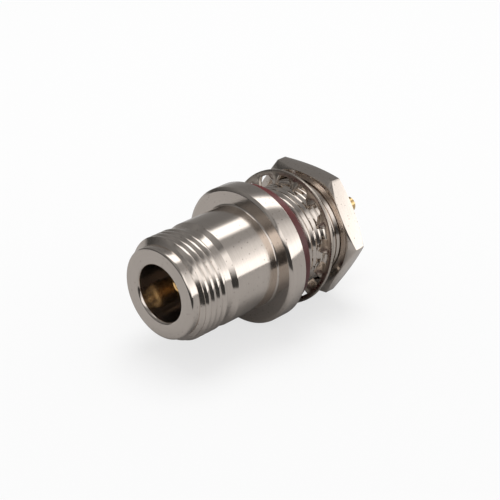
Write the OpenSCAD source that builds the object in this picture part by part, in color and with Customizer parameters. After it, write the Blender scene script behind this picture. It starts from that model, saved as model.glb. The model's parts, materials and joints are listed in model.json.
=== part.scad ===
// Bulkhead coaxial jack, N type: a turned body with a flange, its insulators
// and centre contact, and the gasket, lock washer and nut that hold it in a panel.
// The connector lies along Y. The panel side of the flange is at Y = 0, the
// mating face points to -Y and the solder end to +Y. Z is up.

/* [Mating end] */
// From the mating face to the panel side of the flange
nose_len = 19.3; // [17.6:0.1:24]
// Bore that the plug's outer contact enters
mouth_d = 8.66; // [8.4:0.02:9.4]
// Radius of the rounded lip round the mouth
mouth_lip_r = 0.45; // [0.2:0.05:0.8]
// Depth of the wide part of the bore, lip included
mouth_depth = 3.9; // [3:0.1:5]
// Length of the taper below the mouth
mouth_taper_len = 1.2; // [0.6:0.1:1.6]
// Bore behind the taper, where the plug's outer contact grips
grip_d = 8.08; // [7.4:0.02:8.3]
// Depth of the shoulder that the plug's outer contact meets
shoulder_depth = 9.1; // [8:0.1:10]
// Bore of the air line behind the shoulder
air_line_d = 7; // [6:0.1:7.2]
// Diameter of the plain nose ahead of the thread
nose_d = 13.9; // [13:0.05:14.4]
// Radius on the outer edge of the mating face
nose_edge_r = 0.35; // [0.15:0.05:0.6]
// Length of the plain nose
plain_nose_len = 1.4; // [1:0.1:2.5]
// Length of the cone that leads into the thread
lead_cone_len = 0.6; // [0.3:0.05:1]
// Length of the coupling thread
coupling_thread_len = 3.9; // [3:0.1:5]
// Diameter of the groove that the thread runs out into
coupling_groove_d = 14.7; // [13.6:0.1:15.2]
// Length of that groove at its floor
coupling_groove_len = 1.5; // [0.8:0.1:2]
// Length of the cone that rises from the groove to the barrel
coupling_groove_cone_len = 0.7; // [0.4:0.05:1]
// Diameter of the plain barrel
barrel_d = 15.95; // [15.4:0.05:17]

/* [Threads] */
// Major diameter of both 5/8-24 threads
thread_d = 15.875; // [15:0.005:16.5]
// Angle of a thread's flank from square to the axis
thread_flank = 30; // [20:1:45]

/* [Flange] */
// How much wider the flange is than the nut's flats
flange_over = 2.35; // [1.8:0.05:4]
// Thickness of the flange
flange_t = 3.2; // [2:0.1:4.5]
// Width of the bevel on the flange's front edge, across the face
flange_bevel_w = 0.55; // [0.2:0.05:1]
// Depth of that bevel, along the axis
flange_bevel_t = 0.3; // [0.15:0.05:0.8]
// Bevel on the flange's panel edge
flange_back_bevel = 0.2; // [0.1:0.05:0.5]
// Fillet between the barrel and the flange
flange_fillet_r = 0.3; // [0.1:0.05:0.5]

/* [Shank] */
// Length of the shank behind the flange
shank_len = 14.2; // [13:0.1:22]
// Diameter of the thread run-out groove beside the flange
shank_groove_d = 14.6; // [13.6:0.1:15.2]
// Length of that groove
shank_groove_len = 1.2; // [0.6:0.1:1.8]
// Chamfer on the end of the shank
shank_chamfer = 0.6; // [0.3:0.05:0.8]
// Bore that holds the insulators
cavity_d = 10; // [9:0.1:10.6]
// Depth of the insulators' seat in front of the flange's panel side
cavity_depth = 7.6; // [6.4:0.1:8.6]

/* [Retaining ring] */
// Diameter of the ring pressed into the end of the shank
ring_d = 11.8; // [11.2:0.1:12.2]
// Bore of the ring
ring_bore_d = 8.2; // [7:0.1:8.8]
// Length of the ring
ring_len = 2.2; // [1.5:0.1:3]
// Chamfer on the ring's outer end
ring_chamfer = 0.3; // [0.1:0.05:0.5]

/* [Insulators] */
// Length of the front insulator
front_insulator_len = 4.4; // [3:0.1:5.4]
// Depth of the hollow in the front insulator's face
front_hollow_depth = 0.8; // [0.3:0.1:1.2]
// Diameter of that hollow
front_hollow_d = 6.2; // [5:0.1:6.8]
// How far the rear insulator stands out of the shank
rear_insulator_out = 1.8; // [0.8:0.1:3]
// Diameter of the rear insulator's spigot, inside the ring
rear_spigot_d = 8.1; // [6.9:0.1:8.15]

/* [Centre contact] */
// Diameter of the contact
contact_d = 3.04; // [2.6:0.02:3.4]
// From the mating face to the tip of the socket
socket_setback = 4; // [3.6:0.1:5.3]
// Bore that takes the plug's pin
socket_bore_d = 1.66; // [1.4:0.02:1.9]
// Depth of that bore
socket_bore_depth = 6.2; // [5.4:0.1:8]
// Length of the slots that split the socket into fingers
slot_len = 4.8; // [3:0.1:5]
// Width of a slot
slot_w = 0.28; // [0.2:0.02:0.4]
// Number of fingers
finger_count = 4; // [4:2:6]
// Rounding at the tip of the fingers
finger_tip_r = 0.25; // [0.1:0.05:0.4]
// Diameter of the collar that locks the contact between the insulators
collar_d = 5.2; // [4.4:0.1:6]
// Thickness of the collar
collar_t = 1.6; // [1:0.1:2.4]
// Outer diameter of the solder pot
pot_d = 2.6; // [2.2:0.05:2.9]
// Bore of the solder pot
pot_bore_d = 1.9; // [1.4:0.05:2]
// Depth of the pot's bore
pot_bore_depth = 4.2; // [3:0.1:5]
// Length of the pot behind the rear insulator
pot_len = 6.1; // [5.4:0.1:9]
// Length of the window in the pot's side
pot_window_len = 2.6; // [1.5:0.1:2.8]

/* [Gasket] */
// How far the gasket's edge lies inside the flange's
gasket_inset = 0.85; // [0.5:0.05:1.2]
// Thickness of the gasket
gasket_t = 2; // [1.9:0.1:3]
// Rounding on the gasket's outer edges
gasket_edge_r = 0.5; // [0.2:0.05:0.8]

/* [Lock washer] */
// How much wider the lock washer is than the nut's flats
washer_over = 1.75; // [1.4:0.05:2.8]
// Width of the washer's unbroken rim
washer_rim_w = 0.8; // [0.6:0.05:1.2]
// Thickness of the sheet
washer_t = 0.5; // [0.3:0.05:0.7]
// Number of teeth inside the rim
tooth_count = 15; // [12:1:16]
// Width of a tooth where it leaves the rim
tooth_root_w = 2.3; // [1.6:0.05:2.5]
// Width of a tooth at its tip, as a share of its root
tooth_taper = 0.84; // [0.6:0.02:0.95]
// Twist of a tooth from its root to its tip
tooth_twist = 36; // [15:1:45]
// Middle of the loose washer in front of the nut
washer_gap = 4.2; // [3:0.1:4.4]
// Lean of the loose washer on the shank, top to the rear
washer_lean = 8; // [0:0.5:8.5]
// Turn of the washer about the shank
washer_turn = 3; // [-12:1:12]

/* [Nut] */
// Nut size across its flats
nut_af = 19.05; // [18.8:0.05:22]
// Thickness of the nut
nut_t = 3.1; // [2.4:0.1:4]
// Angle of the chamfers on the nut's corners
nut_chamfer_angle = 24; // [15:1:30]
// How far those chamfers reach in from the flats
nut_chamfer_bite = 0.1; // [0.05:0.05:0.3]
// Chamfer at both ends of the nut's bore
nut_bore_chamfer = 0.5; // [0.2:0.05:0.7]
// How much of the shank stands out behind the nut
nut_setback = 1; // [0.6:0.1:1.4]
// Turn of the nut about the shank, from a corner facing +X
nut_turn = 1.5; // [-30:0.5:30]

/* [Clearances] */
// Radial clearance of the nut on the shank's thread
nut_clear = 0.06; // [0.02:0.01:0.1]
// Radial clearance of the washer's teeth round the shank
washer_clear = 0.28; // [0.24:0.02:0.5]
// Radial clearance of the gasket round the shank
gasket_clear = 0.05; // [0.02:0.01:0.1]
// Radial clearance of pieces that are pressed together
press_clear = 0.02; // [0.01:0.01:0.04]

/* [Hidden] */
$fn = 96;
eps = 0.01; // overshoot of a cut past the face that it opens
root_lap = 0.3; // how far a tooth's root runs into the washer's rim

// stations along the axis, from the panel side of the flange
face_y = -nose_len;
cone_start_y = face_y + plain_nose_len;
thread_start_y = cone_start_y + lead_cone_len;
thread_end_y = thread_start_y + coupling_thread_len;
groove_end_y = thread_end_y + coupling_groove_len;
barrel_start_y = groove_end_y + coupling_groove_cone_len;
shoulder_y = face_y + shoulder_depth;
cavity_y = -cavity_depth;
collar_y = cavity_y + front_insulator_len;
ring_y = shank_len - ring_len;
insulator_end_y = shank_len + rear_insulator_out;
contact_tip_y = face_y + socket_setback;
pot_end_y = insulator_end_y + pot_len;
nut_y = shank_len - nut_setback - nut_t;
washer_y = nut_y - washer_gap;

flange_d = nut_af + flange_over;
gasket_d = flange_d - 2 * gasket_inset;
washer_d = nut_af + washer_over;
thread_r = thread_d / 2;
coupling_groove_drop = thread_r - coupling_groove_d / 2;
shank_groove_drop = thread_r - shank_groove_d / 2;
washer_bore_r = thread_r + washer_clear;
washer_rim_r = washer_d / 2 - washer_rim_w;
tooth_len = washer_rim_r - washer_bore_r;
nut_corner_r = nut_af / sqrt(3);
nut_chamfer_r = nut_af / 2 - nut_chamfer_bite;
nut_chamfer_h = (nut_corner_r - nut_chamfer_r) * tan(nut_chamfer_angle);

// Turns a solid of revolution, drawn as radius against station, onto the axis
module turned(outline) {
    rotate([-90, 0, 0])
        rotate_extrude() polygon(outline);
}

// A round bore or bar along the axis, from one station to another
module bar(d, from, to) {
    translate([0, from, 0])
        rotate([-90, 0, 0])
            cylinder(d = d, h = to - from);
}

// Points of a quarter round about a centre, from one angle to another
function quarter(centre, r, from, to, steps = 8) =
    [for (i = [0 : steps]) centre + r * [cos(from + (to - from) * i / steps),
                                         sin(from + (to - from) * i / steps)]];

// The outside of the body, from the lip of the mouth round to the shank's end
function body_outside() = concat(
    quarter([mouth_d / 2 + mouth_lip_r, face_y + mouth_lip_r], mouth_lip_r, 180, 270),
    quarter([nose_d / 2 - nose_edge_r, face_y + nose_edge_r], nose_edge_r, 270, 360),
    [[nose_d / 2, cone_start_y],
     [thread_r, thread_start_y],
     [thread_r, thread_end_y],
     [coupling_groove_d / 2, thread_end_y + coupling_groove_drop * tan(thread_flank)],
     [coupling_groove_d / 2, groove_end_y],
     [barrel_d / 2, barrel_start_y]],
    quarter([barrel_d / 2 + flange_fillet_r, -flange_t - flange_fillet_r],
            flange_fillet_r, 180, 90),
    [[flange_d / 2 - flange_bevel_w, -flange_t],
     [flange_d / 2, -flange_t + flange_bevel_t],
     [flange_d / 2, -flange_back_bevel],
     [flange_d / 2 - flange_back_bevel, 0],
     [shank_groove_d / 2, 0],
     [shank_groove_d / 2, shank_groove_len],
     [thread_r, shank_groove_len + shank_groove_drop * tan(thread_flank)],
     [thread_r, shank_len - shank_chamfer],
     [thread_r - shank_chamfer, shank_len]]);

// The bores of the body, from the shank's end back to the mouth
function body_inside() = [
    [ring_d / 2, shank_len],
    [ring_d / 2, ring_y],
    [cavity_d / 2, ring_y],
    [cavity_d / 2, cavity_y],
    [air_line_d / 2, cavity_y],
    [air_line_d / 2, shoulder_y],
    [grip_d / 2, shoulder_y],
    [grip_d / 2, face_y + mouth_depth + mouth_taper_len],
    [mouth_d / 2, face_y + mouth_depth]];

module body_shell() {
    color("#b9b2ab")
        turned(concat(body_outside(), body_inside()));
}

module front_insulator() {
    color("#f1efe9")
        turned([
            [contact_d / 2 + press_clear, cavity_y + front_hollow_depth],
            [front_hollow_d / 2, cavity_y + front_hollow_depth],
            [front_hollow_d / 2, cavity_y],
            [cavity_d / 2 - press_clear, cavity_y],
            [cavity_d / 2 - press_clear, collar_y],
            [contact_d / 2 + press_clear, collar_y]]);
}

// Fills the cavity behind the contact's collar and stands out of the ring
module rear_insulator() {
    color("#f1efe9")
        turned([
            [collar_d / 2 + press_clear, collar_y],
            [cavity_d / 2 - press_clear, collar_y],
            [cavity_d / 2 - press_clear, ring_y],
            [rear_spigot_d / 2, ring_y],
            [rear_spigot_d / 2, insulator_end_y],
            [contact_d / 2 + press_clear, insulator_end_y],
            [contact_d / 2 + press_clear, collar_y + collar_t],
            [collar_d / 2 + press_clear, collar_y + collar_t]]);
}

module retaining_ring() {
    color("#b9b2ab")
        turned([
            [ring_bore_d / 2, ring_y],
            [ring_d / 2 - press_clear, ring_y],
            [ring_d / 2 - press_clear, shank_len - ring_chamfer],
            [ring_d / 2 - press_clear - ring_chamfer, shank_len],
            [ring_bore_d / 2 + ring_chamfer, shank_len],
            [ring_bore_d / 2, shank_len - ring_chamfer]]);
}

// One turned pin: split socket in front, collar in the middle, solder pot behind
module centre_contact() {
    color("#c9a14a")
        difference() {
            turned(concat(
                [[0, contact_tip_y]],
                quarter([contact_d / 2 - finger_tip_r, contact_tip_y + finger_tip_r],
                        finger_tip_r, 270, 360),
                [[contact_d / 2, collar_y],
                 [collar_d / 2, collar_y],
                 [collar_d / 2, collar_y + collar_t],
                 [contact_d / 2, collar_y + collar_t],
                 [contact_d / 2, insulator_end_y],
                 [pot_d / 2, insulator_end_y + (contact_d - pot_d) / 2],
                 [pot_d / 2, pot_end_y],
                 [0, pot_end_y]]));
            bar(socket_bore_d, contact_tip_y - eps, contact_tip_y + socket_bore_depth);
            bar(pot_bore_d, pot_end_y - pot_bore_depth, pot_end_y + eps);
            for (i = [0 : finger_count / 2 - 1])
                rotate([0, i * 360 / finger_count, 0])
                    translate([-slot_w / 2, contact_tip_y - eps, -contact_d])
                        cube([slot_w, slot_len + eps, 2 * contact_d]);
            translate([-pot_d, pot_end_y - pot_window_len, 0])
                cube([2 * pot_d, pot_window_len + eps, pot_d]);
        }
}

module panel_gasket() {
    bore_r = thread_r + gasket_clear;
    color("#7d2b28")
        turned(concat(
            [[bore_r, 0]],
            quarter([gasket_d / 2 - gasket_edge_r, gasket_edge_r], gasket_edge_r, 270, 360),
            quarter([gasket_d / 2 - gasket_edge_r, gasket_t - gasket_edge_r],
                    gasket_edge_r, 0, 90),
            [[bore_r, gasket_t]]));
}

// One tooth: flat where it leaves the rim, twisted further towards its tip
module washer_tooth() {
    translate([washer_rim_r + root_lap, 0, 0])
        rotate([0, -90, 0])
            linear_extrude(height = tooth_len + root_lap, twist = -tooth_twist,
                           scale = [1, tooth_taper], slices = 6, segments = 4)
                square([washer_t - 2 * eps, tooth_root_w], center = true);
}

// Rim with the twisted teeth inside it, leaning as it hangs on the shank
module lock_washer() {
    color("#a39c93")
        translate([0, washer_y, 0])
            rotate([-90 - washer_lean, 0, 0])
                union() {
                    translate([0, 0, -washer_t / 2])
                        difference() {
                            cylinder(d = washer_d, h = washer_t);
                            translate([0, 0, -eps])
                                cylinder(r = washer_rim_r, h = washer_t + 2 * eps);
                        }
                    for (i = [0 : tooth_count - 1])
                        rotate([0, 0, (i + 0.5) * 360 / tooth_count + washer_turn])
                            washer_tooth();
                }
}

// Hexagon cut by a cone at each face, with a chamfered bore
module hex_nut() {
    bore_r = thread_r + nut_clear;
    color("#b3aca0")
        difference() {
            intersection() {
                translate([0, nut_y, 0])
                    rotate([-90, 0, 0])
                        rotate([0, 0, nut_turn])
                            cylinder(r = nut_corner_r, h = nut_t, $fn = 6);
                turned([
                    [0, nut_y],
                    [nut_chamfer_r, nut_y],
                    [nut_corner_r, nut_y + nut_chamfer_h],
                    [nut_corner_r, nut_y + nut_t - nut_chamfer_h],
                    [nut_chamfer_r, nut_y + nut_t],
                    [0, nut_y + nut_t]]);
            }
            turned([
                [0, nut_y - eps],
                [bore_r + nut_bore_chamfer, nut_y - eps],
                [bore_r, nut_y + nut_bore_chamfer],
                [bore_r, nut_y + nut_t - nut_bore_chamfer],
                [bore_r + nut_bore_chamfer, nut_y + nut_t + eps],
                [0, nut_y + nut_t + eps]]);
        }
}

body_shell();
front_insulator();
rear_insulator();
centre_contact();
retaining_ring();
panel_gasket();
lock_washer();
hex_nut();
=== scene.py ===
import json
import math

import bmesh
import bpy
from mathutils import Matrix, Vector


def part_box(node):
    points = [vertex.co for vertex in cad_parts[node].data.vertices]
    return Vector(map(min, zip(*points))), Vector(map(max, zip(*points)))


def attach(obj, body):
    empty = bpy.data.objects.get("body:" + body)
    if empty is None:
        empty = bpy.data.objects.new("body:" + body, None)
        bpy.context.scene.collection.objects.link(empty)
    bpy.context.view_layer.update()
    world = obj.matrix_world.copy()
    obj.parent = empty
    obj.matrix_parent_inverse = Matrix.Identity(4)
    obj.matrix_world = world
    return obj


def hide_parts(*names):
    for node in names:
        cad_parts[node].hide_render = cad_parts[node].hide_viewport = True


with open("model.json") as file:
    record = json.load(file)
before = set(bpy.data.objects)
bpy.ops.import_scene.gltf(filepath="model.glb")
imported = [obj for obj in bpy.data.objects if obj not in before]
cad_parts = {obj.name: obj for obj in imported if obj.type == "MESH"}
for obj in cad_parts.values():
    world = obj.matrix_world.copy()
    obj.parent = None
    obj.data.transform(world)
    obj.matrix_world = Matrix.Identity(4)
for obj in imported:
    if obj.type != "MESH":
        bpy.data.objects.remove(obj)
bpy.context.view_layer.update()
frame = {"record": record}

mm = 0.001
yAxis = Vector((0, 1, 0))
mergeReach = 0.0015 * mm
shortestEdge = 0.0005 * mm

# places along the axis, in mm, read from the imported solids
shellLow, shellHigh = [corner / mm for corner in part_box("body_shell")]
nutLow, nutHigh = [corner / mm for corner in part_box("hex_nut")]
gasketLow, gasketHigh = [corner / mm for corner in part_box("panel_gasket")]
washerLow, washerHigh = [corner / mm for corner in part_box("lock_washer")]
contactLow, contactHigh = [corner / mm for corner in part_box("centre_contact")]
frontBeadLow, frontBeadHigh = [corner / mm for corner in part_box("front_insulator")]
rearBeadLow, rearBeadHigh = [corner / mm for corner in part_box("rear_insulator")]
ringLow, ringHigh = [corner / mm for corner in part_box("retaining_ring")]
mounts = {mount["name"]: mount for mount in frame["record"]["mounts"]}
threadRadius = mounts["coupling_thread"]["dims"]["r_mm"]
print("frame read: shell from", round(shellLow.y, 2), "to", round(shellHigh.y, 2), "mm")


def arcOf(centreRadius, centreY, radius, startAngle, endAngle, steps=6):
    # (radius, station) pairs round a centre in the meridian plane
    pairs = []
    for step in range(steps + 1):
        angle = math.radians(startAngle + (endAngle - startAngle) * step / steps)
        pairs.append((centreRadius + radius * math.cos(angle), centreY + radius * math.sin(angle)))
    return pairs


def softened(outline, size, closed=False, leastTurn=20, mostShare=0.4):
    # breaks the corners of an outline that turn by leastTurn degrees or more
    soft = []
    count = len(outline)
    for index, corner in enumerate(outline):
        if not closed and index in (0, count - 1):
            soft.append(corner)
            continue
        here = Vector(corner)
        before = Vector(outline[index - 1])
        after = Vector(outline[(index + 1) % count])
        toBefore, toAfter = before - here, after - here
        turn = math.pi - toBefore.angle(toAfter, math.pi)
        if turn < math.radians(leastTurn):
            soft.append(corner)
            continue
        cut = min(size, toBefore.length * mostShare, toAfter.length * mostShare)
        enter = here + toBefore.normalized() * cut
        leave = here + toAfter.normalized() * cut
        soft += [tuple(enter), tuple((enter + leave + here * 2) / 4), tuple(leave)]
    return soft


def spinOutline(bm, outline, columns, closed=False):
    # turns an outline of (radius, station) pairs in mm round the axis
    points = [bm.verts.new((radius * mm, station * mm, 0)) for radius, station in outline]
    lines = [bm.edges.new(pair) for pair in zip(points, points[1:])]
    if closed:
        lines.append(bm.edges.new((points[-1], points[0])))
    bmesh.ops.spin(bm, geom=points + lines, cent=(0, 0, 0), axis=yAxis, angle=math.tau,
                   steps=columns, use_merge=True)


def radiusOn(outline, station):
    # radius of an outline at a station, where its stations only grow
    for (radiusA, stationA), (radiusB, stationB) in zip(outline, outline[1:]):
        if station <= stationB:
            share = max(0, (station - stationA) / max(stationB - stationA, 1e-9))
            return radiusA + (radiusB - radiusA) * share
    return outline[-1][0]


thread = {
    "pitch": 25.4 / 24,  # 24 turns to the inch
    "depth": 0.42,
    "phase": 0.1,        # station of a crest at +X
    "columns": 144,
    "joint": 0.03,       # strip between a turned ring and the cut end of a helix
    # one turn across the thread: share of the pitch, share of the depth
    "form": ((-0.21, 0.1), (-0.16, 0.02), (-0.1, 0), (0.1, 0), (0.16, 0.02), (0.21, 0.1),
             (0.41, 0.92), (0.46, 1), (0.54, 1), (0.59, 0.92), (0.79, 0.1)),
}


def cutThread(bm, low, high, limit, crest, inside=False):
    # a helix from one station to another, kept within a limiting outline
    pitch, columns = thread["pitch"], thread["columns"]
    turns = math.ceil((high - low) / pitch) + 3
    first = thread["phase"] + math.floor((low - thread["phase"]) / pitch - 1.5) * pitch
    strip = bmesh.new()
    points = []
    for across, down in thread["form"]:
        radius = crest - thread["depth"] * down
        points.append(strip.verts.new((radius * mm, (first + across * pitch) * mm, 0)))
    lines = [strip.edges.new(pair) for pair in zip(points, points[1:])]
    bmesh.ops.spin(strip, geom=points + lines, cent=(0, 0, 0), axis=yAxis,
                   dvec=(0, pitch * mm / columns, 0), angle=math.tau, steps=columns)
    oneTurn = list(strip.verts) + list(strip.edges) + list(strip.faces)
    for turn in range(1, turns):
        copied = bmesh.ops.duplicate(strip, geom=oneTurn)["geom"]
        moved = [part for part in copied if isinstance(part, bmesh.types.BMVert)]
        bmesh.ops.translate(strip, vec=(0, pitch * turn * mm, 0), verts=moved)
    bmesh.ops.remove_doubles(strip, verts=strip.verts, dist=0.001 * mm)
    for station, clearLow in ((low, True), (high, False)):
        parts = list(strip.verts) + list(strip.edges) + list(strip.faces)
        bmesh.ops.bisect_plane(strip, geom=parts, plane_co=(0, station * mm, 0), plane_no=yAxis,
                               clear_inner=clearLow, clear_outer=not clearLow)
    for vert in strip.verts:
        reach = math.hypot(vert.co.x, vert.co.z)
        bound = radiusOn(limit, vert.co.y / mm) * mm
        if (reach < bound) if inside else (reach > bound):
            vert.co.x *= bound / reach
            vert.co.z *= bound / reach
    cut = bpy.data.meshes.new("cut")
    strip.to_mesh(cut)
    strip.free()
    bm.from_mesh(cut)
    bpy.data.meshes.remove(cut)


def closeGap(bm, station, side=None):
    # bridges the two open rings that face each other at a station
    reach = thread["joint"] * 2
    rings = []
    for edge in bm.edges:
        near = all(abs(vert.co.y / mm - station) < reach for vert in edge.verts)
        if near and len(edge.link_faces) == 1:
            radius = math.hypot(edge.verts[0].co.x, edge.verts[0].co.z) / mm
            if side is None or side(radius):
                rings.append(edge)
    bmesh.ops.bridge_loops(bm, edges=rings)


def finishPiece(bm, name, material, body, node, sharpAngle=30):
    bmesh.ops.remove_doubles(bm, verts=bm.verts, dist=mergeReach)
    bmesh.ops.dissolve_degenerate(bm, edges=bm.edges, dist=shortestEdge)
    bmesh.ops.recalc_face_normals(bm, faces=bm.faces)
    for face in bm.faces:
        face.smooth = True
    for edge in bm.edges:
        if len(edge.link_faces) == 2:
            edge.smooth = edge.calc_face_angle(0) < math.radians(sharpAngle)
    openEdges = sum(1 for edge in bm.edges if len(edge.link_faces) != 2)
    mesh = bpy.data.meshes.new(name)
    bm.to_mesh(mesh)
    bm.free()
    piece = bpy.data.objects.new(name, mesh)
    bpy.context.scene.collection.objects.link(piece)
    mesh.materials.append(material)
    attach(piece, body)
    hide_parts(node)
    print("made", name, "-", len(mesh.polygons), "faces,", openEdges, "open edges")
    return piece


def newGroup(name, inputs, outputs):
    group = bpy.data.node_groups.new(name, "ShaderNodeTree")
    for label, kind, value in inputs:
        socket = group.interface.new_socket(name=label, in_out="INPUT", socket_type=kind)
        if value is not None:
            socket.default_value = value
    for label, kind in outputs:
        group.interface.new_socket(name=label, in_out="OUTPUT", socket_type=kind)
    return group, group.nodes.new("NodeGroupInput"), group.nodes.new("NodeGroupOutput")


def addNode(tree, kind, **settings):
    # a node with its settings, and inputs given by name or number in "feeds"
    node = tree.nodes.new(kind)
    feeds = settings.pop("feeds", {})
    for key, value in settings.items():
        setattr(node, key, value)
    for key, value in feeds.items():
        socket = node.inputs[key]
        if isinstance(value, bpy.types.NodeSocket):
            tree.links.new(value, socket)
        else:
            socket.default_value = value
    return node


def turnedMarksGroup():
    # fine tool marks round the axis: height, and how worn the plating is
    group, start, end = newGroup(
        "turnedMarks",
        [("Point", "NodeSocketVector", None), ("Marks per mm", "NodeSocketFloat", 9.0),
         ("Blotch size", "NodeSocketFloat", 900.0)],
        [("Height", "NodeSocketFloat"), ("Blotch", "NodeSocketFloat"),
         ("Speck", "NodeSocketFloat")])
    split = addNode(group, "ShaderNodeSeparateXYZ", feeds={0: start.outputs["Point"]})
    squareX = addNode(group, "ShaderNodeMath", operation="MULTIPLY",
                      feeds={0: split.outputs[0], 1: split.outputs[0]})
    squareZ = addNode(group, "ShaderNodeMath", operation="MULTIPLY",
                      feeds={0: split.outputs[2], 1: split.outputs[2]})
    squares = addNode(group, "ShaderNodeMath", operation="ADD",
                      feeds={0: squareX.outputs[0], 1: squareZ.outputs[0]})
    radius = addNode(group, "ShaderNodeMath", operation="SQRT", feeds={0: squares.outputs[0]})
    # marks follow the station on barrels and the radius on faces
    place = addNode(group, "ShaderNodeCombineXYZ",
                    feeds={0: radius.outputs[0], 1: split.outputs[1]})
    scale = addNode(group, "ShaderNodeMath", operation="MULTIPLY",
                    feeds={0: start.outputs["Marks per mm"], 1: 1000.0})
    marks = addNode(group, "ShaderNodeTexNoise", noise_dimensions="3D",
                    feeds={"Vector": place.outputs[0], "Scale": scale.outputs[0],
                           "Detail": 3.0, "Roughness": 0.6})
    blotch = addNode(group, "ShaderNodeTexNoise",
                     feeds={"Vector": start.outputs["Point"],
                            "Scale": start.outputs["Blotch size"],
                            "Detail": 4.0, "Roughness": 0.6})
    speck = addNode(group, "ShaderNodeTexVoronoi",
                    feeds={"Vector": start.outputs["Point"], "Scale": 1400.0})
    speckMask = addNode(group, "ShaderNodeMapRange",
                        feeds={0: speck.outputs["Distance"], 1: 0.05, 2: 0.16, 3: 1.0, 4: 0.0})
    group.links.new(marks.outputs[0], end.inputs["Height"])
    group.links.new(blotch.outputs[0], end.inputs["Blotch"])
    group.links.new(speckMask.outputs[0], end.inputs["Speck"])
    return group


turnedMarks = turnedMarksGroup()


def newMaterial(name):
    material = bpy.data.materials.new(name)
    material.use_nodes = True
    tree = material.node_tree
    tree.nodes.clear()
    output = tree.nodes.new("ShaderNodeOutputMaterial")
    shader = tree.nodes.new("ShaderNodeBsdfPrincipled")
    tree.links.new(shader.outputs[0], output.inputs[0])
    place = tree.nodes.new("ShaderNodeTexCoord")
    return material, tree, shader, place.outputs["Object"]


def platedMetal(name, look):
    material, tree, shader, point = newMaterial(name)
    marks = addNode(tree, "ShaderNodeGroup", node_tree=turnedMarks,
                    feeds={"Point": point, "Marks per mm": look["marksPerMm"],
                           "Blotch size": look["blotchSize"]})
    worn = addNode(tree, "ShaderNodeMix", data_type="FLOAT",
                   feeds={0: look["streaks"], 2: marks.outputs["Blotch"],
                          3: marks.outputs["Height"]})
    tone = addNode(tree, "ShaderNodeValToRGB", feeds={0: worn.outputs[0]})
    tone.color_ramp.elements[0].position = 0.3
    tone.color_ramp.elements[0].color = (*look["dull"], 1)
    tone.color_ramp.elements[1].position = 0.7
    tone.color_ramp.elements[1].color = (*look["bright"], 1)
    pitted = addNode(tree, "ShaderNodeMix", data_type="RGBA",
                     feeds={0: marks.outputs["Speck"], 6: tone.outputs[0], 7: (*look["pit"], 1)})
    rough = addNode(tree, "ShaderNodeMapRange",
                    feeds={0: worn.outputs[0], 1: 0.3, 2: 0.7,
                           3: look["roughMost"], 4: look["roughLeast"]})
    bump = addNode(tree, "ShaderNodeBump",
                   feeds={"Strength": look["bump"], "Distance": look["bumpDepth"] * mm,
                          "Height": marks.outputs["Height"]})
    tangent = addNode(tree, "ShaderNodeTangent", direction_type="RADIAL", axis="Y")
    tree.links.new(pitted.outputs[2], shader.inputs["Base Color"])
    tree.links.new(rough.outputs[0], shader.inputs["Roughness"])
    tree.links.new(bump.outputs[0], shader.inputs["Normal"])
    tree.links.new(tangent.outputs[0], shader.inputs["Tangent"])
    shader.inputs["Metallic"].default_value = 1
    shader.inputs["Anisotropic"].default_value = look["stretch"]
    shader.inputs["Anisotropic Rotation"].default_value = 0.25
    return material


nickelLook = {
    "bright": (0.74, 0.665, 0.60), "dull": (0.66, 0.59, 0.53), "pit": (0.30, 0.25, 0.21),
    "marksPerMm": 5.0, "blotchSize": 500.0, "streaks": 0.7,
    "roughLeast": 0.12, "roughMost": 0.18, "stretch": 0.7, "bump": 0.2, "bumpDepth": 0.015,
}
springLook = {
    "bright": (0.56, 0.50, 0.44), "dull": (0.38, 0.33, 0.28), "pit": (0.12, 0.09, 0.07),
    "marksPerMm": 3.0, "blotchSize": 900.0, "streaks": 0.2,
    "roughLeast": 0.22, "roughMost": 0.38, "stretch": 0.0, "bump": 0.3, "bumpDepth": 0.02,
}
giltLook = {
    "bright": (0.93, 0.68, 0.34), "dull": (0.80, 0.54, 0.24), "pit": (0.45, 0.27, 0.10),
    "marksPerMm": 8.0, "blotchSize": 900.0, "streaks": 0.5,
    "roughLeast": 0.16, "roughMost": 0.26, "stretch": 0.4, "bump": 0.2, "bumpDepth": 0.01,
}
nickel = platedMetal("nickel", nickelLook)
springNickel = platedMetal("springNickel", springLook)
gilt = platedMetal("gilt", giltLook)


def mouldedMaterial(name, look):
    # PTFE and silicone: a cloudy tone with a fine surface grain
    material, tree, shader, point = newMaterial(name)
    cloud = addNode(tree, "ShaderNodeTexNoise",
                    feeds={"Vector": point, "Scale": look["cloudSize"], "Detail": 5.0})
    grain = addNode(tree, "ShaderNodeTexNoise",
                    feeds={"Vector": point, "Scale": look["grainSize"], "Detail": 3.0})
    tone = addNode(tree, "ShaderNodeMix", data_type="RGBA",
                   feeds={0: cloud.outputs[0], 6: (*look["dark"], 1), 7: (*look["light"], 1)})
    rough = addNode(tree, "ShaderNodeMapRange",
                    feeds={0: grain.outputs[0], 3: look["roughLeast"], 4: look["roughMost"]})
    bump = addNode(tree, "ShaderNodeBump",
                   feeds={"Strength": look["bump"], "Distance": 0.02 * mm,
                          "Height": grain.outputs[0]})
    tree.links.new(tone.outputs[2], shader.inputs["Base Color"])
    tree.links.new(rough.outputs[0], shader.inputs["Roughness"])
    tree.links.new(bump.outputs[0], shader.inputs["Normal"])
    shader.inputs["Subsurface Weight"].default_value = look["depthWeight"]
    shader.inputs["Subsurface Scale"].default_value = look["depth"] * mm
    return material


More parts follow.
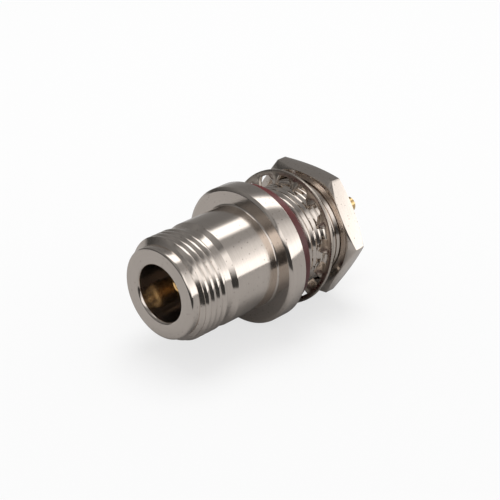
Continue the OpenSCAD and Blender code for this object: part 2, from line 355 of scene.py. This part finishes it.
ptfeLook = {"dark": (0.80, 0.79, 0.76), "light": (0.90, 0.89, 0.86), "cloudSize": 300.0,
            "grainSize": 4000.0, "roughLeast": 0.35, "roughMost": 0.5, "bump": 0.15,
            "depthWeight": 0.2, "depth": 0.8}
siliconeLook = {"dark": (0.055, 0.009, 0.009), "light": (0.10, 0.018, 0.017), "cloudSize": 600.0,
                "grainSize": 5000.0, "roughLeast": 0.28, "roughMost": 0.42, "bump": 0.25,
                "depthWeight": 0.05, "depth": 0.4}
ptfe = mouldedMaterial("ptfe", ptfeLook)
silicone = mouldedMaterial("silicone", siliconeLook)
print("finishes mixed")

shell = {
    "columns": 144,
    "noseRadius": 6.95, "noseEdge": 0.35, "noseLength": 1.4, "leadCone": 0.6,
    "threadLength": 3.9, "flank": 30,
    "reliefRadius": 7.35, "reliefLength": 1.5, "reliefCone": 0.7, "barrelRadius": 7.975,
    "flangeThickness": 3.2, "bevelWidth": 0.55, "bevelDepth": 0.3, "backBevel": 0.2,
    "fillet": 0.3,
    "shankReliefRadius": 7.3, "shankReliefLength": 1.2, "shankChamfer": 0.6,
    "ringSeatRadius": 5.9, "ringSeatDepth": 2.2, "cavityRadius": 5, "cavityDepth": 7.6,
    "airLineRadius": 3.5, "shoulderDepth": 9.1, "gripRadius": 4.04, "taperLength": 1.2,
    "mouthRadius": 4.33, "mouthDepth": 3.9, "lip": 0.45,
    "brokenEdge": 0.07,
}


def makeShell():
    s = shell
    faceY, endY, flangeRadius = shellLow.y, shellHigh.y, shellHigh.z
    noseEnd = faceY + s["noseLength"]
    threadStart = noseEnd + s["leadCone"]
    threadEnd = threadStart + s["threadLength"]
    flankRun = math.tan(math.radians(s["flank"]))
    reliefStart = threadEnd + (threadRadius - s["reliefRadius"]) * flankRun
    reliefEnd = threadEnd + s["reliefLength"]
    barrelStart = reliefEnd + s["reliefCone"]
    shankReliefEnd = s["shankReliefLength"]
    shankThreadStart = shankReliefEnd + (threadRadius - s["shankReliefRadius"]) * flankRun
    chamferStart = endY - s["shankChamfer"]
    gap = thread["joint"]
    bm = bmesh.new()

    middle = [(s["reliefRadius"], reliefStart + gap), (s["reliefRadius"], reliefEnd),
              (s["barrelRadius"], barrelStart)]
    middle += arcOf(s["barrelRadius"] + s["fillet"], -s["flangeThickness"] - s["fillet"],
                    s["fillet"], 180, 90)
    middle += [(flangeRadius - s["bevelWidth"], -s["flangeThickness"]),
               (flangeRadius, -s["flangeThickness"] + s["bevelDepth"]),
               (flangeRadius, -s["backBevel"]), (flangeRadius - s["backBevel"], 0),
               (s["shankReliefRadius"], 0), (s["shankReliefRadius"], shankReliefEnd - gap)]
    spinOutline(bm, softened(middle, s["brokenEdge"]), s["columns"])

    ends = [(s["noseRadius"], noseEnd - gap)]
    ends += arcOf(s["noseRadius"] - s["noseEdge"], faceY + s["noseEdge"], s["noseEdge"], 0, -90)
    ends += arcOf(s["mouthRadius"] + s["lip"], faceY + s["lip"], s["lip"], 270, 180)
    ends += [(s["mouthRadius"], faceY + s["mouthDepth"]),
             (s["gripRadius"], faceY + s["mouthDepth"] + s["taperLength"]),
             (s["gripRadius"], faceY + s["shoulderDepth"]),
             (s["airLineRadius"], faceY + s["shoulderDepth"]),
             (s["airLineRadius"], -s["cavityDepth"]), (s["cavityRadius"], -s["cavityDepth"]),
             (s["cavityRadius"], endY - s["ringSeatDepth"]),
             (s["ringSeatRadius"], endY - s["ringSeatDepth"]), (s["ringSeatRadius"], endY),
             (threadRadius - s["shankChamfer"], endY),
             (threadRadius - s["shankChamfer"] + gap, endY - gap)]
    spinOutline(bm, softened(ends, s["brokenEdge"]), s["columns"])

    frontLimit = [(s["noseRadius"], noseEnd), (threadRadius, threadStart),
                  (threadRadius, threadEnd), (s["reliefRadius"], reliefStart)]
    cutThread(bm, noseEnd, reliefStart, frontLimit, threadRadius)
    rearLimit = [(s["shankReliefRadius"], shankReliefEnd), (threadRadius, shankThreadStart),
                 (threadRadius, chamferStart),
                 (threadRadius - s["shankChamfer"] + gap * 2, endY - gap * 2)]
    cutThread(bm, shankReliefEnd, endY - gap * 2, rearLimit, threadRadius)
    closeGap(bm, noseEnd)
    closeGap(bm, reliefStart)
    closeGap(bm, shankReliefEnd)
    closeGap(bm, endY - gap * 1.5, side=lambda radius: radius > s["ringSeatRadius"] + 1)
    return finishPiece(bm, "threadedShell", nickel, "jack", "body_shell")


makeShell()

beads = {"columns": 96, "frontHollowRadius": 3.1, "frontHollowDepth": 0.8,
         "collarRadius": 2.6, "collarThickness": 1.6, "spigotRadius": 4.05,
         "cavityRadius": 4.98, "contactClearance": 0.02, "brokenEdge": 0.12}


def makeBeads():
    b = beads
    bore = contact["radius"] + b["contactClearance"]
    frontY, collarY = frontBeadLow.y, frontBeadHigh.y
    front = [(bore, frontY + b["frontHollowDepth"]),
             (b["frontHollowRadius"], frontY + b["frontHollowDepth"]),
             (b["frontHollowRadius"], frontY), (b["cavityRadius"], frontY),
             (b["cavityRadius"], collarY), (bore, collarY)]
    bm = bmesh.new()
    spinOutline(bm, softened(front, b["brokenEdge"], closed=True), b["columns"], closed=True)
    finishPiece(bm, "frontBead", ptfe, "jack", "front_insulator")
    seat = b["collarRadius"] + b["contactClearance"]
    rear = [(seat, collarY), (b["cavityRadius"], collarY), (b["cavityRadius"], ringLow.y),
            (b["spigotRadius"], ringLow.y), (b["spigotRadius"], rearBeadHigh.y),
            (bore, rearBeadHigh.y), (bore, collarY + b["collarThickness"]),
            (seat, collarY + b["collarThickness"])]
    bm = bmesh.new()
    spinOutline(bm, softened(rear, b["brokenEdge"], closed=True), b["columns"], closed=True)
    finishPiece(bm, "rearBead", ptfe, "jack", "rear_insulator")


contact = {"columns": 64, "radius": 1.52, "socketRadius": 0.83, "socketDepth": 6.2,
           "tipRound": 0.25, "slotLength": 4.8, "slotWidth": 0.28, "mouthChamfer": 0.12,
           "collarRadius": 2.6, "collarThickness": 1.6, "potRadius": 1.3,
           "potBoreRadius": 0.95, "potBoreDepth": 4.2, "window": 2.6, "drillPoint": 0.4,
           "brokenEdge": 0.06}
makeBeads()


def boxCutter(name, low, high):
    bm = bmesh.new()
    bmesh.ops.create_cube(bm, size=1)
    size = [(high[i] - low[i]) * mm for i in range(3)]
    middle = [(high[i] + low[i]) / 2 * mm for i in range(3)]
    bmesh.ops.scale(bm, vec=size, verts=bm.verts)
    bmesh.ops.translate(bm, vec=middle, verts=bm.verts)
    mesh = bpy.data.meshes.new(name)
    bm.to_mesh(mesh)
    bm.free()
    cutter = bpy.data.objects.new(name, mesh)
    bpy.context.scene.collection.objects.link(cutter)
    return cutter


def cutAway(bm, cutters):
    # the mesh with each cutter taken out of it, as a new bmesh
    mesh = bpy.data.meshes.new("blank")
    bm.to_mesh(mesh)
    bm.free()
    blank = bpy.data.objects.new("blank", mesh)
    bpy.context.scene.collection.objects.link(blank)
    for cutter in cutters:
        cut = blank.modifiers.new("cut", "BOOLEAN")
        cut.operation = "DIFFERENCE"
        cut.solver = "EXACT"
        cut.object = cutter
    graph = bpy.context.evaluated_depsgraph_get()
    result = bmesh.new()
    result.from_mesh(blank.evaluated_get(graph).to_mesh())
    for spare in [blank, *cutters]:
        bpy.data.objects.remove(spare)
    return result


def makeContact():
    c = contact
    tipY, endY, beadEnd, collarY = contactLow.y, contactHigh.y, rearBeadHigh.y, frontBeadHigh.y
    socketEnd = tipY + c["socketDepth"]
    potFloor = endY - c["potBoreDepth"]
    outline = [(0, socketEnd + c["drillPoint"]), (c["socketRadius"], socketEnd),
               (c["socketRadius"], tipY + c["mouthChamfer"]),
               (c["socketRadius"] + c["mouthChamfer"], tipY)]
    outline += arcOf(c["radius"] - c["tipRound"], tipY + c["tipRound"], c["tipRound"], 270, 360)
    outline += [(c["radius"], collarY), (c["collarRadius"], collarY),
                (c["collarRadius"], collarY + c["collarThickness"]),
                (c["radius"], collarY + c["collarThickness"]), (c["radius"], beadEnd),
                (c["potRadius"], beadEnd + c["radius"] - c["potRadius"]),
                (c["potRadius"], endY), (c["potBoreRadius"], endY),
                (c["potBoreRadius"], potFloor), (0, potFloor - c["drillPoint"])]
    bm = bmesh.new()
    spinOutline(bm, softened(outline, c["brokenEdge"]), c["columns"])
    bmesh.ops.remove_doubles(bm, verts=bm.verts, dist=0.002 * mm)
    bmesh.ops.dissolve_degenerate(bm, edges=bm.edges, dist=shortestEdge)
    bmesh.ops.recalc_face_normals(bm, faces=bm.faces)
    half, wide = c["slotWidth"] / 2, c["radius"] * 2
    front, back = tipY - 1, tipY + c["slotLength"]
    slots = [boxCutter("slotUpright", (-half, front, -wide), (half, back, wide)),
             boxCutter("slotLevel", (-wide, front, -half), (wide, back, half)),
             boxCutter("potWindow", (-wide, endY - c["window"], -wide), (0, endY + 1, wide))]
    bm = cutAway(bm, slots)
    return finishPiece(bm, "socketContact", gilt, "jack", "centre_contact")


makeContact()

pressedRing = {"columns": 96, "boreRadius": 4.1, "chamfer": 0.3, "brokenEdge": 0.05}


def makePressedRing():
    p = pressedRing
    outer = ringHigh.x
    outline = [(p["boreRadius"], ringLow.y), (outer, ringLow.y),
               (outer, ringHigh.y - p["chamfer"]), (outer - p["chamfer"], ringHigh.y),
               (p["boreRadius"] + p["chamfer"], ringHigh.y),
               (p["boreRadius"], ringHigh.y - p["chamfer"])]
    bm = bmesh.new()
    spinOutline(bm, softened(outline, p["brokenEdge"], closed=True), p["columns"], closed=True)
    return finishPiece(bm, "pressedRing", nickel, "jack", "retaining_ring")


makePressedRing()

gasket = {"columns": 120, "boreClearance": 0.05, "edge": 0.5}


def makeGasket():
    g = gasket
    bore = threadRadius + g["boreClearance"]
    outer, back = gasketHigh.x, gasketHigh.y
    outline = [(bore, gasketLow.y)]
    outline += arcOf(outer - g["edge"], gasketLow.y + g["edge"], g["edge"], 270, 360, 8)
    outline += arcOf(outer - g["edge"], back - g["edge"], g["edge"], 0, 90, 8)
    outline += [(bore, back)]
    bm = bmesh.new()
    spinOutline(bm, outline, g["columns"], closed=True)
    return finishPiece(bm, "siliconeGasket", silicone, "jack", "panel_gasket", 40)


makeGasket()

washer = {"outerRadius": 10.4, "rim": 0.8, "thickness": 0.5, "teeth": 15, "stepsPerTooth": 12,
          "rootSteps": 7, "boreRadius": 8.22, "taper": 0.84, "twist": 36, "toothRows": 6,
          "lean": 8, "turn": 3, "edge": 0.07}


def makeWasher():
    w = washer
    bm = bmesh.new()
    steps = w["teeth"] * w["stepsPerTooth"]
    ring = bmesh.ops.create_circle(bm, segments=steps, radius=w["outerRadius"] * mm)["verts"]
    bmesh.ops.rotate(bm, verts=ring, cent=(0, 0, 0), matrix=Matrix.Rotation(
        math.radians(-(w["rootSteps"] % 2) * 180 / steps), 3, "Z"))
    radii = [w["outerRadius"] - w["rim"] / 2, w["outerRadius"] - w["rim"]]
    rows = list(bm.edges)
    reached = w["outerRadius"]
    for radius in radii:
        grown = bmesh.ops.extrude_edge_only(bm, edges=rows)["geom"]
        ring = [part for part in grown if isinstance(part, bmesh.types.BMVert)]
        rows = [part for part in grown if isinstance(part, bmesh.types.BMEdge)
                and all(v in ring for v in part.verts)]
        bmesh.ops.scale(bm, vec=(radius / reached,) * 3, verts=ring)
        reached = radius
    # teeth grow inwards from the rim, row by row, each row turned a little further
    toothLength = reached - w["boreRadius"]
    for tooth in range(w["teeth"]):
        middle = math.tau * tooth / w["teeth"]
        spoke = Vector((math.cos(middle), math.sin(middle), 0))
        across = Vector((-spoke.y, spoke.x, 0))
        spread = w["rootSteps"] / 2 * math.tau / steps
        rows = []
        for edge in bm.edges:
            centre = (edge.verts[0].co + edge.verts[1].co) / 2
            onRim = all(abs(v.co.length / mm - reached) < 0.01 for v in edge.verts)
            if onRim and centre.length > 0 and spoke.angle(centre) < spread:
                rows.append(edge)
        rootWidth = max(abs(v.co.dot(across)) for edge in rows for v in edge.verts)
        for row in range(1, w["toothRows"] + 1):
            share = row / w["toothRows"]
            grown = bmesh.ops.extrude_edge_only(bm, edges=rows)["geom"]
            ring = [part for part in grown if isinstance(part, bmesh.types.BMVert)]
            rows = [part for part in grown if isinstance(part, bmesh.types.BMEdge)
                    and all(v in ring for v in part.verts)]
            out = (reached - toothLength * share) * mm
            width = rootWidth * (1 + (w["taper"] - 1) * share)
            spots = sorted(ring, key=lambda vert: vert.co.dot(across))
            for index, vert in enumerate(spots):
                side = (index / (len(spots) - 1) * 2 - 1) * width
                vert.co = spoke * math.sqrt(out * out - side * side) + across * side
            turn = -math.radians(w["twist"]) * math.sin(share * math.pi / 2)
            bmesh.ops.rotate(bm, verts=ring, cent=(0, 0, 0),
                             matrix=Matrix.Rotation(turn, 3, spoke))
    bmesh.ops.recalc_face_normals(bm, faces=bm.faces)
    place = Matrix.Translation((0, (washerLow.y + washerHigh.y) / 2 * mm, 0))
    lie = Matrix.Rotation(math.radians(-90 - w["lean"]), 4, "X")
    turn = Matrix.Rotation(math.radians(w["turn"] + 180 / w["teeth"]), 4, "Z")
    bmesh.ops.transform(bm, matrix=place @ lie @ turn, verts=bm.verts)
    piece = finishPiece(bm, "toothedWasher", springNickel, "washer",
                        "lock_washer", 40)
    sheet = piece.modifiers.new("sheet", "SOLIDIFY")
    sheet.thickness = w["thickness"] * mm
    sheet.offset = 0
    edge = piece.modifiers.new("edge", "BEVEL")
    edge.width = w["edge"] * mm
    edge.segments = 2
    edge.limit_method = "ANGLE"
    edge.angle_limit = math.radians(50)
    return piece


makeWasher()

nut = {"flats": 19.05, "columns": 240, "turn": 1.5, "chamferAngle": 24, "chamferBite": 0.1,
       "boreClearance": 0.06, "boreChamfer": 0.5, "edge": 0.07}


def makeNut():
    n = nut
    front, back = nutLow.y, nutHigh.y
    chamferCircle = n["flats"] / 2 - n["chamferBite"]
    slope = math.tan(math.radians(n["chamferAngle"]))
    boreRadius = threadRadius + n["boreClearance"]
    mouth = boreRadius + n["boreChamfer"]

    def hexReach(angle):
        wedge = (math.degrees(angle) + n["turn"]) % 60 - 30
        return n["flats"] / 2 / math.cos(math.radians(wedge))

    def drop(angle):
        return max(0, (hexReach(angle) - chamferCircle) * slope)

    # rings of the outside, front to back: (radius, station) at an angle
    rings = [lambda a: (mouth, front), lambda a: (chamferCircle, front),
             lambda a: (hexReach(a), front + drop(a)), lambda a: (hexReach(a), back - drop(a)),
             lambda a: (chamferCircle, back), lambda a: (mouth, back)]
    bm = bmesh.new()
    verts = bmesh.ops.create_circle(bm, segments=n["columns"], radius=mouth * mm)["verts"]
    upright = Matrix.Rotation(math.radians(90), 3, "X")
    turned = Matrix.Rotation(math.radians(n["turn"]), 3, "Y")
    bmesh.ops.rotate(bm, verts=verts, cent=(0, 0, 0), matrix=turned @ upright)
    rows = list(bm.edges)
    for order, ring in enumerate(rings):
        if order:
            grown = bmesh.ops.extrude_edge_only(bm, edges=rows)["geom"]
            verts = [part for part in grown if isinstance(part, bmesh.types.BMVert)]
            rows = [part for part in grown if isinstance(part, bmesh.types.BMEdge)
                    and all(v in verts for v in part.verts)]
        for vert in verts:
            angle = math.atan2(vert.co.z, vert.co.x)
            radius, station = ring(angle)
            vert.co = Vector((math.cos(angle) * radius, station, math.sin(angle) * radius)) * mm
    creases = [edge for edge in bm.edges if len(edge.link_faces) == 2
               and edge.calc_face_angle(0) > math.radians(18)]
    bmesh.ops.bevel(bm, geom=creases, offset=n["edge"] * mm, offset_type="OFFSET", segments=2,
                    profile=0.5, affect="EDGES", material=-1, clamp_overlap=True)
    gap = thread["joint"]
    crest = boreRadius - thread["depth"]
    limit = [(mouth - gap, front + gap), (crest, front + mouth - crest),
             (crest, back - mouth + crest), (mouth - gap, back - gap)]
    cutThread(bm, front + gap, back - gap, limit, boreRadius, inside=True)
    closeGap(bm, front, side=lambda radius: radius < chamferCircle)
    closeGap(bm, back, side=lambda radius: radius < chamferCircle)
    return finishPiece(bm, "chamferedNut", nickel, "nut", "hex_nut")


makeNut()
print("pieces made")

camera = {"azimuth": 43.9, "elevation": 27.1, "lens": 98.64, "sensor": 36.0,
          "place": (126.04, -131.76, 93.2), "clip": (0.001, 10)}


def placeCamera():
    data = bpy.data.cameras.new("camera")
    data.lens = camera["lens"]
    data.sensor_width = camera["sensor"]
    data.clip_start, data.clip_end = camera["clip"]
    body = bpy.data.objects.new("camera", data)
    bpy.context.scene.collection.objects.link(body)
    azimuth, elevation = math.radians(camera["azimuth"]), math.radians(camera["elevation"])
    back = Vector((math.sin(azimuth) * math.cos(elevation),
                   -math.cos(azimuth) * math.cos(elevation), math.sin(elevation)))
    body.location = Vector(camera["place"]) * mm
    body.rotation_mode = "QUATERNION"
    body.rotation_quaternion = (-back).to_track_quat("-Z", "Y")
    bpy.context.scene.camera = body


placeCamera()
bpy.context.scene.view_settings.view_transform = "Standard"

studio = {
    # what metal mirrors, round the connector's axis: angle from +X over +Z, and level
    "rearPanels": ((-180, 0.3), (-12, 0.3), (-6, 0.8), (0, 1.7), (15, 1.75), (24, 1.35),
                   (34, 1.02), (46, 0.85), (55, 0.62), (63, 0.38), (81, 0.34), (88, 1.9),
                   (107, 1.9), (113, 0.34), (124, 0.2), (152, 0.2), (170, 0.25), (180, 0.3)),
    "frontPanels": ((-180, 0.06), (-5, 0.05), (3, 0.15), (14, 0.7), (24, 1.3), (50, 1.3),
                    (60, 0.5), (68, 0.16), (85, 0.3), (104, 0.38), (119, 0.18), (136, 0.24),
                    (152, 0.18), (166, 0.12), (175, 0.06), (180, 0.06)),
    "seam": (-0.35, 0.1),  # the front panels give way to the rear ones
    "softLight": 0.9,
    "floorGap": 0.02,
    "lampPlace": (-0.08, 0.1, 0.5), "lampSize": 0.35, "lampPower": 2.2,
}


def panelRamp(tree, angle, panels):
    # panels as one ramp over the full turn
    share = addNode(tree, "ShaderNodeMapRange", clamp=False,
                    feeds={0: angle, 1: -math.pi, 2: math.pi, 3: 0.0, 4: 1.0})
    ramp = addNode(tree, "ShaderNodeValToRGB", feeds={0: share.outputs[0]})
    stops = ramp.color_ramp.elements
    top = max(level for degrees, level in panels)
    while len(stops) < len(panels):
        stops.new(0.5)
    for stop, (degrees, level) in zip(stops, panels):
        stop.position = (degrees + 180) / 360
        stop.color = (level / top,) * 3 + (1,)
    return addNode(tree, "ShaderNodeMath", operation="MULTIPLY",
                   feeds={0: ramp.outputs[0], 1: top})


def lightStudio():
    world = bpy.data.worlds.new("studio")
    bpy.context.scene.world = world
    world.use_nodes = True
    tree = world.node_tree
    tree.nodes.clear()
    place = tree.nodes.new("ShaderNodeTexCoord")
    split = addNode(tree, "ShaderNodeSeparateXYZ", feeds={0: place.outputs["Generated"]})
    angle = addNode(tree, "ShaderNodeMath", operation="ARCTAN2",
                    feeds={0: split.outputs[2], 1: split.outputs[0]})
    rear = panelRamp(tree, angle.outputs[0], studio["rearPanels"])
    front = panelRamp(tree, angle.outputs[0], studio["frontPanels"])
    seam = addNode(tree, "ShaderNodeMapRange", interpolation_type="SMOOTHSTEP",
                   feeds={0: split.outputs[1], 1: studio["seam"][0], 2: studio["seam"][1]})
    mirrored = addNode(tree, "ShaderNodeMix", data_type="FLOAT",
                       feeds={0: seam.outputs[0], 2: front.outputs[0], 3: rear.outputs[0]})
    rays = tree.nodes.new("ShaderNodeLightPath")
    glossy = addNode(tree, "ShaderNodeMix", data_type="FLOAT",
                     feeds={0: rays.outputs["Is Glossy Ray"], 2: studio["softLight"],
                            3: mirrored.outputs[0]})
    seen = addNode(tree, "ShaderNodeMix", data_type="FLOAT",
                   feeds={0: rays.outputs["Is Camera Ray"], 2: glossy.outputs[0], 3: 1.0})
    background = addNode(tree, "ShaderNodeBackground",
                         feeds={"Color": (1, 1, 1, 1), "Strength": seen.outputs[0]})
    output = tree.nodes.new("ShaderNodeOutputWorld")
    tree.links.new(background.outputs[0], output.inputs[0])
    # one soft lamp overhead gives the floor its shadow
    lamp = bpy.data.lights.new("softbox", "AREA")
    lamp.shape = "DISK"
    lamp.size = studio["lampSize"]
    lamp.energy = studio["lampPower"]
    body = bpy.data.objects.new("softbox", lamp)
    bpy.context.scene.collection.objects.link(body)
    body.location = studio["lampPlace"]
    body.rotation_mode = "QUATERNION"
    body.rotation_quaternion = (-body.location).to_track_quat("-Z", "Y")
    body.visible_glossy = False


lightStudio()

# the floor tones that metal mirrors are painted reflection: mid near the connector, dark past the
# sheet edge, both darker than the pale floor the camera sees
floorLook = {"size": 3.0, "tone": 0.58, "shadowShare": 0.3, "mirrorTone": 0.30,
             "darkTone": 0.03, "sheetEdge": (0.044, 0.050), "sheetSlant": 0.5}


def layFloor():
    bm = bmesh.new()
    bmesh.ops.create_grid(bm, x_segments=1, y_segments=1, size=floorLook["size"])
    mesh = bpy.data.meshes.new("floor")
    bm.to_mesh(mesh)
    bm.free()
    floor = bpy.data.objects.new("floor", mesh)
    bpy.context.scene.collection.objects.link(floor)
    floor.location.z = (shellLow.z - studio["floorGap"]) * mm
    material = bpy.data.materials.new("paleFloor")
    material.use_nodes = True
    tree = material.node_tree
    tree.nodes.clear()
    rays = tree.nodes.new("ShaderNodeLightPath")
    tone = (floorLook["tone"],) * 3 + (1,)
    matte = addNode(tree, "ShaderNodeBsdfDiffuse", feeds={"Color": tone})
    white = addNode(tree, "ShaderNodeEmission", feeds={"Strength": 1.0})
    lift = addNode(tree, "ShaderNodeMixShader",
                   feeds={0: floorLook["shadowShare"], 1: white.outputs[0], 2: matte.outputs[0]})
    # painted reflection: rays other than the camera's see the floor painted a mid tone near the
    # connector and nearly black past a slanted edge in front and to the right, so the metal
    # mirrors painted shade there
    place = tree.nodes.new("ShaderNodeTexCoord")
    split = addNode(tree, "ShaderNodeSeparateXYZ", feeds={0: place.outputs["Object"]})
    ahead = addNode(tree, "ShaderNodeMath", operation="MULTIPLY_ADD",
                    feeds={0: split.outputs[0], 1: floorLook["sheetSlant"]})
    forward = addNode(tree, "ShaderNodeMath", operation="MULTIPLY",
                      feeds={0: split.outputs[1], 1: -1.0})
    tree.links.new(forward.outputs[0], ahead.inputs[2])
    paintedMirrorShade = addNode(tree, "ShaderNodeMapRange", interpolation_type="SMOOTHSTEP",
                     feeds={0: ahead.outputs[0], 1: floorLook["sheetEdge"][0],
                            2: floorLook["sheetEdge"][1], 3: floorLook["mirrorTone"],
                            4: floorLook["darkTone"]})
    paintedMirrorShader = addNode(tree, "ShaderNodeBsdfDiffuse", feeds={"Color": paintedMirrorShade.outputs[0]})
    seen = addNode(tree, "ShaderNodeMixShader",
                   feeds={0: rays.outputs["Is Camera Ray"], 1: paintedMirrorShader.outputs[0],
                          2: lift.outputs[0]})
    output = tree.nodes.new("ShaderNodeOutputMaterial")
    tree.links.new(seen.outputs[0], output.inputs[0])
    mesh.materials.append(material)


layFloor()
print("studio lit")
